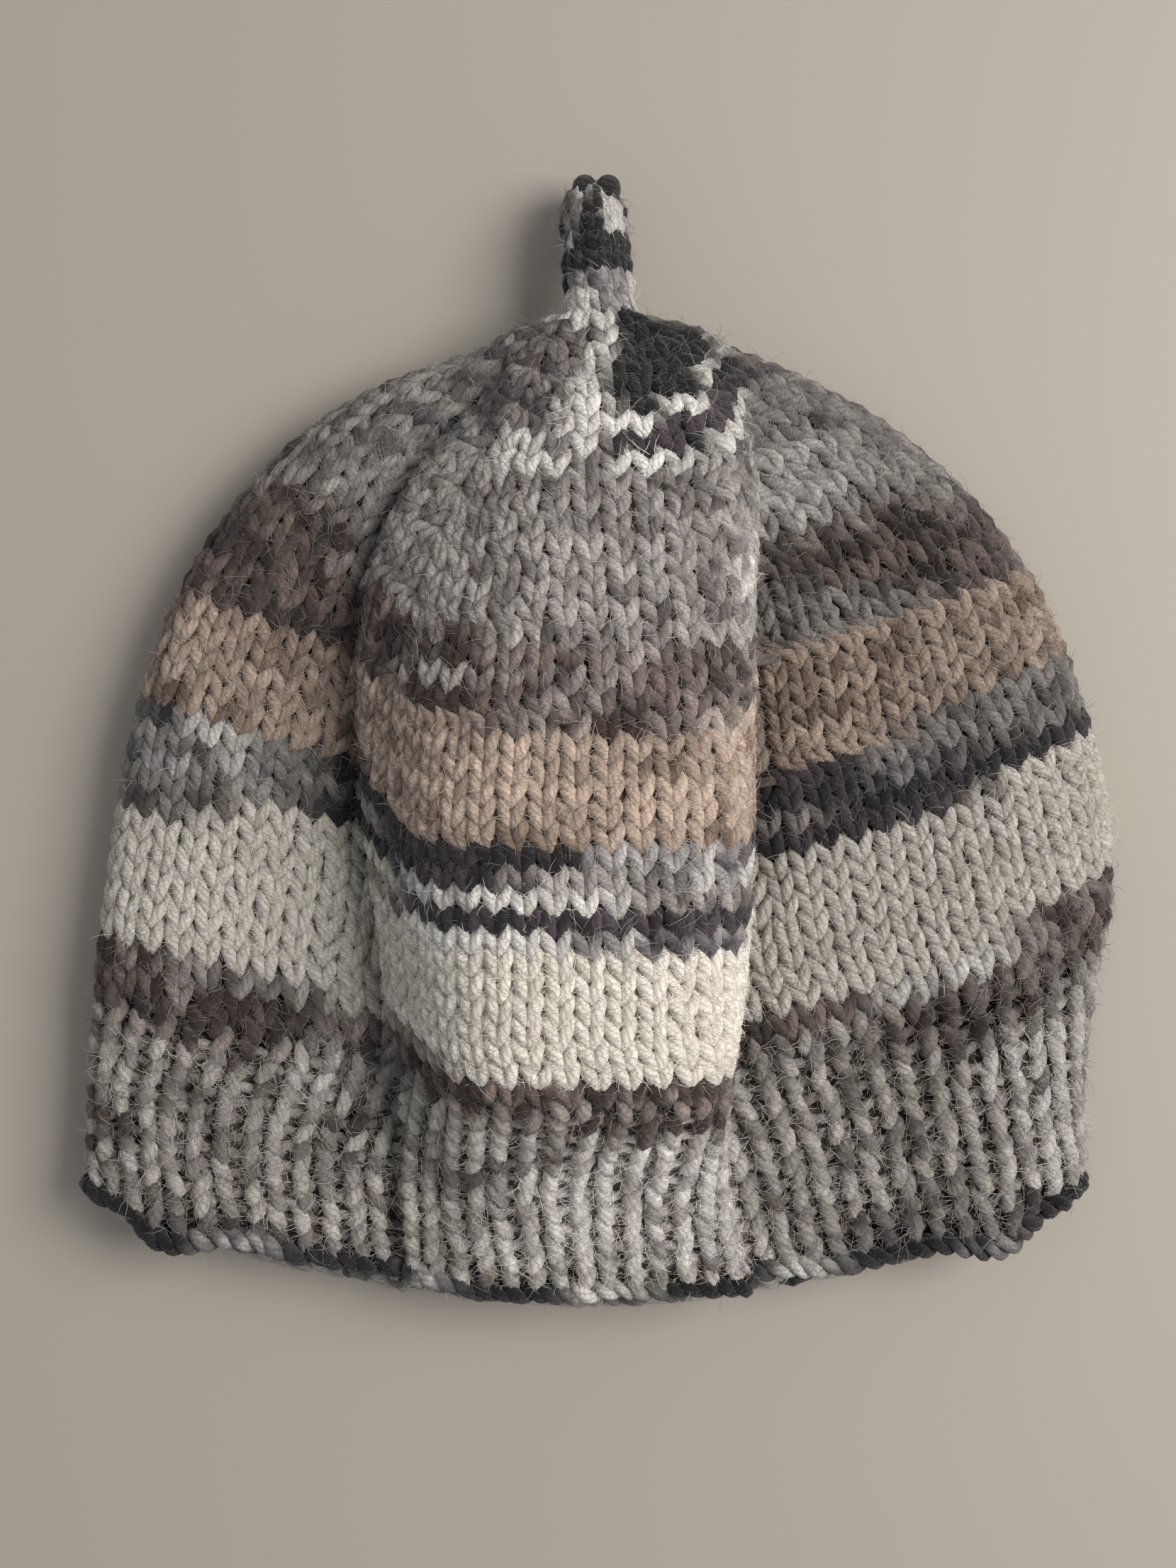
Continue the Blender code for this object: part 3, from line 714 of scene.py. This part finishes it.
class Shader:
    # A material, whose other nodes are all made by one method
    def __init__(self, name):
        self.material = bpy.data.materials.new(name)
        self.material.use_nodes = True
        self.tree = self.material.node_tree
        self.surface = next(n for n in self.tree.nodes if n.type == "BSDF_PRINCIPLED")

    def node(self, kind, settings=None, inputs=None):
        node = self.tree.nodes.new(kind)
        for key, value in (settings or {}).items():
            setattr(node, key, value)
        for key, value in (inputs or {}).items():
            if isinstance(value, Socket):
                self.tree.links.new(value.socket, node.inputs[key])
            else:
                node.inputs[key].default_value = value
        return Socket(self.tree, node.outputs[0])

    def noise(self, x, y, inputs):
        # Flat noise at a place that is worked out by shader maths
        place = self.node("ShaderNodeCombineXYZ", None, {"X": x, "Y": y, "Z": 0.0})
        return self.node("ShaderNodeTexNoise", {"noise_dimensions": "2D"},
                         {"Vector": place, "Scale": 1.0, **inputs})

    def set(self, name, value):
        # A value or a link for one of the surface's sockets
        if isinstance(value, Socket):
            self.tree.links.new(value.socket, self.surface.inputs[name])
        else:
            self.surface.inputs[name].default_value = value


# plyPitch: metres in which the plies go once round the yarn. waver: how unevenly they do.
# grooveShade, grooveMiddle: painted shade in the grooves between the plies, with the plies' tops
# a little lighter. The fibres are fine streaks and the strands are broad ones, both so many a
# metre along the yarn and so many a turn round it. palest: how light a dye is that shows almost
# no streaks
yarnLook = {"plies": 5, "plyPitch": 0.0078, "waver": 0.22, "grooveWidth": 0.8,
            "grooveShade": 0.26, "grooveMiddle": 0.75, "plyBump": 0.00019,
            "fibresAlong": 420, "fibresRound": 34, "fibreShade": 1.2, "fibreBump": 0.9,
            "strandsAlong": 150, "strandsRound": 6, "strandShade": 1.2, "palest": 1.08,
            "roughness": 0.85, "sheen": 0.16, "sheenRoughness": 0.5, "specular": 0.25}


def yarnMaterial(name):
    # Plied yarn: the dye with soft grooves that wind round the yarn, darkened in them with
    # painted shade, and fine fibres along them
    z = yarnLook
    shader = Shader(name)
    place = shader.node("ShaderNodeUVMap", {"uv_map": "yarn"})
    along = shader.node("ShaderNodeSeparateXYZ", None, {0: place})
    around = along.output(1)
    waver = shader.node("ShaderNodeTexNoise", {"noise_dimensions": "1D"},
                        {"W": along * z["fibresAlong"], "Detail": 1.0})
    twist = along / z["plyPitch"] + around + waver * z["waver"]
    ridge = (twist * (z["plies"] * math.pi)).math("SINE").math("ABSOLUTE") \
        .math("POWER", z["grooveWidth"])
    fibres = shader.noise(along * z["fibresAlong"], twist * z["fibresRound"],
                          {"Detail": 3.0, "Roughness": 0.65})
    strands = shader.noise(along * z["strandsAlong"], twist * z["strandsRound"], {"Detail": 1.0})
    dye = shader.node("ShaderNodeAttribute", {"attribute_name": "dye"})
    paleness = dye.output(2)
    # Painted shade: darker in the grooves between the plies, a little lighter on their tops
    groove = ridge * z["grooveShade"] + (1 - z["grooveShade"] * z["grooveMiddle"])
    streaks = (fibres - 0.5) * z["fibreShade"] + (strands - 0.5) * z["strandShade"]
    shader.set("Base Color", shader.node("ShaderNodeVectorMath", {"operation": "SCALE"}, {
        0: dye, "Scale": groove * (streaks * (z["palest"] - paleness) + 1.0)}))
    shader.set("Normal", shader.node("ShaderNodeBump", None, {
        "Strength": 1.0, "Distance": z["plyBump"], "Height": ridge + fibres * z["fibreBump"]}))
    shader.set("Roughness", z["roughness"])
    shader.set("Sheen Weight", z["sheen"])
    shader.set("Sheen Roughness", z["sheenRoughness"])
    shader.set("Specular IOR Level", z["specular"])
    return shader.material


def fuzzMaterial():
    shader = Shader("fuzz")
    shader.set("Base Color", shader.node("ShaderNodeAttribute", {"attribute_name": "dye"}))
    shader.set("Roughness", fuzzLook["roughness"])
    shader.set("Sheen Weight", fuzzLook["sheen"])
    return shader.material


yarnMat = yarnMaterial("yarn")
fuzzMat = fuzzMaterial()


# bend: from where to where each loop goes round, in half turns. taper: which part of a swelling
# it is. bluntness: the lower, the fuller its ends. yarn: the place along the yarn for its dye
tipLook = {"apart": 0.0042, "radius": 0.0023, "half": 0.0036, "inside": 0.0054,
           "reach": 0.0045, "toRight": 0.0009, "sides": 12, "points": 28, "bend": (-0.4, 1.4),
           "taper": (0.08, 0.92), "bluntness": 0.8, "yarn": 58.3}


def tipLoops():
    # The yarn's end closes the stalk with two small loops side by side, their ends inside it
    z, s = tipLook, hatSizes
    paths = []
    for side in (-0.5, 0.5):
        a = np.linspace(*z["bend"], z["points"]) * math.pi
        x = side * z["apart"] + z["toRight"] - s["stalkLean"] + 0 * a
        y = s["length"] + s["stalkLength"] - z["inside"] + z["reach"] * np.sin(a)
        h = s["stalkEndHeight"] + z["half"] * np.cos(a)
        place = np.column_stack([x, y, h])
        way = np.column_stack([0 * a, np.sin(a), np.cos(a)])
        swell = np.sin(np.linspace(*z["taper"], z["points"]) * math.pi) ** z["bluntness"]
        paths.append((place, way, z["yarn"] + 0.01 * a, z["radius"] * swell, np.ones(len(a)),
                      False, z["sides"]))
    return paths


# The rows of knitting at which the pieces part
splitRow, crownRow = 24, 35


def dressPiece(name, node, firstRow, lastRow, extra=()):
    # The rows of yarn of one piece with its layer of painted shade, in place of a node of the
    # frame
    paths = [(*rowYarn(row), True, knitting["sides"]) for row in range(firstRow, lastRow)]
    verts, faces, keys, shades, uvs = tubes(paths + list(extra))
    coreVerts, coreFaces, coreKeys = paintedShadeLayer(firstRow, lastRow)
    coreColors = colorsAlong(coreKeys, coreVerts[:, 2])
    # The layer's colour is painted shade: its yarn's dye, darkened, less so under pale yarn
    coreShades = mix(paintedShadeLayerLook["shade"], paintedShadeLayerLook["paleShade"], coreColors)
    colors = colorsAlong(keys, verts[:, 2])
    # Pale wool lets light through, so the painted shade in its gaps is lighter
    shades = mix(shades[:, None], 1.0, dyeing["paleGlow"] * colors.mean(axis=1)[:, None])
    colors = np.concatenate([colors * shades, coreColors * coreShades])
    faces = np.concatenate([faces, coreFaces + len(verts)])
    verts = np.concatenate([verts, coreVerts])
    piece = makeMesh(name, verts, faces, colors,
                     np.concatenate([uvs, np.full((len(coreFaces) * 4, 2), 0.5)]))
    piece.data.materials.append(yarnMat)
    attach(piece, "root")
    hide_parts(node)
    print(name, "triangles", 2 * len(faces))


def fuzzPiece(name, firstRow, lastRow):
    # The loose fibres over some rows, a little paler than their yarn
    verts, faces, keys = fuzz(firstRow, lastRow, fuzzLook["hairs"])
    colors = mix(colorsAlong(keys, verts[:, 2]), toLinear(fuzzLook["pale"]),
                 fuzzLook["paleShare"])
    piece = makeMesh(name, verts, faces, colors)
    piece.data.materials.append(fuzzMat)
    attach(piece, "root")
    print(name, "triangles", 2 * len(faces))


brimRows, clothRows = knitting["brimRows"], knitting["clothRows"]
lastRows = clothRows + knitting["stalkRows"]
print("knitting")
dressPiece("brim_knit", "ribbed_brim", 0, brimRows, castOnEdge())
dressPiece("body_knit_lower", "hat_body", brimRows, splitRow)
dressPiece("body_knit_upper", "hat_body", splitRow, crownRow)
dressPiece("crown_knit", "crown", crownRow, clothRows)
dressPiece("stalk_knit", "stalk", clothRows, lastRows, tipLoops())

print("fuzz")
fuzzPiece("lower_fuzz", -fuzzLook["belowRim"], fuzzLook["splitRow"])
fuzzPiece("upper_fuzz", fuzzLook["splitRow"], lastRows + fuzzLook["pastEnd"])

print("floor, light and camera")
# The camera looks straight down from its height. cameraX is in the frame and cameraUp is measured
# from the rim along the hat. seenHeight: the length of floor that fills the picture's height, at
# seenPlane over the floor
stageLook = {"floorSide": 6.0, "floor": (157, 150, 140), "floorRoughness": 0.6,
             "ambient": 0.46, "ambientColor": (0.95, 0.97, 1.0),
             "keyPower": 10.5, "keySide": 0.55, "keyPlace": (0.62, 0.12, 0.70),
             "keyColor": (1.0, 0.97, 0.93),
             "cameraX": -0.0014, "cameraUp": 0.0942, "cameraHeight": 0.38,
             "seenHeight": 0.283, "seenPlane": 0.010}
bpy.ops.mesh.primitive_plane_add(size=stageLook["floorSide"], location=(0, 0, 0))
floor = bpy.context.active_object
floor.name = "floor"
floorShader = Shader("floor")
floorShader.set("Base Color", (*toLinear(stageLook["floor"]), 1))
floorShader.set("Roughness", stageLook["floorRoughness"])
floor.data.materials.append(floorShader.material)

world = bpy.data.worlds.new("studio")
bpy.context.scene.world = world
world.use_nodes = True
background = world.node_tree.nodes["Background"]
background.inputs["Color"].default_value = (*stageLook["ambientColor"], 1)
background.inputs["Strength"].default_value = stageLook["ambient"]

bpy.ops.object.light_add(type="AREA", location=stageLook["keyPlace"])
key = bpy.context.active_object
key.name = "key_light"
key.data.size = stageLook["keySide"]
key.data.energy = stageLook["keyPower"]
key.data.color = stageLook["keyColor"]
key.rotation_euler = Vector(stageLook["keyPlace"]).to_track_quat("Z", "Y").to_euler()

bpy.ops.object.camera_add(location=(
    stageLook["cameraX"], stageLook["cameraUp"] - originShift[1], stageLook["cameraHeight"]))
camera = bpy.context.active_object
camera.data.sensor_fit = "VERTICAL"
camera.data.angle = 2 * math.atan(
    stageLook["seenHeight"] / 2 / (stageLook["cameraHeight"] - stageLook["seenPlane"]))
bpy.context.scene.camera = camera
bpy.context.scene.view_settings.view_transform = "Standard"
